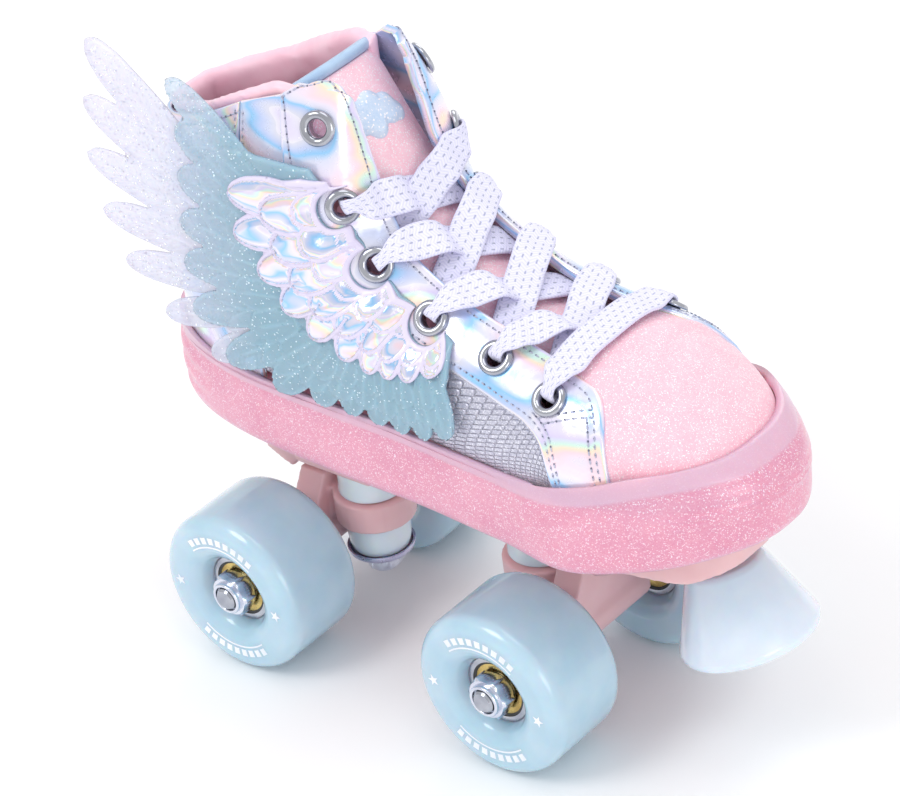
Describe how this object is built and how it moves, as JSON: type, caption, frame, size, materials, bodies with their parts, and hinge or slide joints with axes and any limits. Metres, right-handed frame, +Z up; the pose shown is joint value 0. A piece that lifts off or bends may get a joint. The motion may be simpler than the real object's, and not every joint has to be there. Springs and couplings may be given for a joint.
{
  "type": "quad roller skate",
  "caption": "High-top lace-up child's quad roller skate with a feathered wing on its outer side, padded collar, cupped sole, sprung trucks, soft wheels and a toe stop",
  "frame": {"origin": "on the ground, midway between the four wheels", "axes": "+X towards the toe, +Y towards the inner side of the foot, +Z up"},
  "size_m": [0.225, 0.1082, 0.1999],
  "materials": {
    "sole_rubber": "clear pink rubber with glitter in it",
    "insole_foam": "brushed fabric over foam",
    "glitter_fabric": "fine pink glitter on fabric",
    "holographic_trim": "holographic silver film on soft vinyl",
    "scale_fabric": "silver glitter with a fish-scale emboss",
    "satin_lining": "padded satin",
    "binding_tape": "folded shiny tape",
    "patch_vinyl": "moulded soft patch with glitter",
    "lace_weave": "flat woven lace with metallic threads",
    "clear_wing": "clear soft plastic with glitter",
    "blue_wing": "clear blue soft plastic with glitter",
    "crest_vinyl": "puffed holographic vinyl with a pale border",
    "eyelet_metal": "polished",
    "chassis_plastic": "moulded pale pink plastic",
    "stop_rubber": "milky pale blue",
    "bolt_steel": "zinc plated",
    "zinc_steel": "zinc plated",
    "cushion_urethane": "milky white",
    "pivot_rubber": "soft grey white",
    "wheel_urethane": "milky pale blue urethane",
    "bearing_steel": "gold shield between dark rings"
  },
  "bodies": {
    "boot_and_plate": {"outsole": "sole_rubber", "insole": "insole_foam", "toe_vamp": "glitter_fabric", "heel_quarter": "holographic_trim", "collar_lining": "satin_lining", "tongue": "glitter_fabric", "tongue_binding": "binding_tape", "tongue_patch": "patch_vinyl", "lace": "lace_weave", "wing_primary": "clear_wing", "wing_secondary": "blue_wing", "wing_crest": "crest_vinyl", "quarter_right": "scale_fabric", "quarter_left": "scale_fabric", "eyestay_right": "holographic_trim", "eyestay_left": "holographic_trim", "eyelet_right_1": "eyelet_metal", "eyelet_right_2": "eyelet_metal", "eyelet_right_3": "eyelet_metal", "eyelet_right_4": "eyelet_metal", "eyelet_right_5": "eyelet_metal", "eyelet_right_6": "eyelet_metal", "eyelet_left_1": "eyelet_metal", "eyelet_left_2": "eyelet_metal", "eyelet_left_3": "eyelet_metal", "eyelet_left_4": "eyelet_metal", "eyelet_left_5": "eyelet_metal", "eyelet_left_6": "eyelet_metal", "baseplate": "chassis_plastic", "toe_stop": "stop_rubber", "toe_stop_bolt": "bolt_steel", "front_kingpin": "zinc_steel", "front_kingpin_nut": "zinc_steel", "front_cushion_washer": "zinc_steel", "front_lower_cushion": "cushion_urethane", "front_upper_cushion": "cushion_urethane", "front_pivot_cup": "pivot_rubber", "rear_kingpin": "zinc_steel", "rear_kingpin_nut": "zinc_steel", "rear_cushion_washer": "zinc_steel", "rear_lower_cushion": "cushion_urethane", "rear_upper_cushion": "cushion_urethane", "rear_pivot_cup": "pivot_rubber"},
    "front_truck": {"front_hanger": "chassis_plastic", "front_axle": "zinc_steel", "front_right_axle_nut": "zinc_steel", "front_left_axle_nut": "zinc_steel"},
    "front_right_wheel": {"front_right_tyre": "wheel_urethane", "front_right_bearings": "bearing_steel"},
    "front_left_wheel": {"front_left_tyre": "wheel_urethane", "front_left_bearings": "bearing_steel"},
    "rear_truck": {"rear_hanger": "chassis_plastic", "rear_axle": "zinc_steel", "rear_right_axle_nut": "zinc_steel", "rear_left_axle_nut": "zinc_steel"},
    "rear_right_wheel": {"rear_right_tyre": "wheel_urethane", "rear_right_bearings": "bearing_steel"},
    "rear_left_wheel": {"rear_left_tyre": "wheel_urethane", "rear_left_bearings": "bearing_steel"}
  },
  "joints": [
    {"name": "front_truck_tilt", "type": "hinge", "parent": "boot_and_plate", "child": "front_truck", "pos_m": [0.061, 0, 0.053], "axis": [0.8769, 0, 0.4807], "range_deg": [-7, 7], "stiffness_Nm_per_rad": 9, "deforming": ["front_lower_cushion", "front_upper_cushion"]},
    {"name": "front_right_wheel_spin", "type": "hinge", "parent": "front_truck", "child": "front_right_wheel", "pos_m": [0.0514, -0.0365, 0.027], "axis": [0, 1, 0], "continuous": true},
    {"name": "front_left_wheel_spin", "type": "hinge", "parent": "front_truck", "child": "front_left_wheel", "pos_m": [0.0514, 0.0365, 0.027], "axis": [0, 1, 0], "continuous": true},
    {"name": "rear_truck_tilt", "type": "hinge", "parent": "boot_and_plate", "child": "rear_truck", "pos_m": [-0.061, 0, 0.053], "axis": [-0.8769, 0, 0.4807], "range_deg": [-7, 7], "stiffness_Nm_per_rad": 9, "deforming": ["rear_lower_cushion", "rear_upper_cushion"]},
    {"name": "rear_right_wheel_spin", "type": "hinge", "parent": "rear_truck", "child": "rear_right_wheel", "pos_m": [-0.0514, -0.0365, 0.027], "axis": [0, 1, 0], "continuous": true},
    {"name": "rear_left_wheel_spin", "type": "hinge", "parent": "rear_truck", "child": "rear_left_wheel", "pos_m": [-0.0514, 0.0365, 0.027], "axis": [0, 1, 0], "continuous": true}
  ]
}
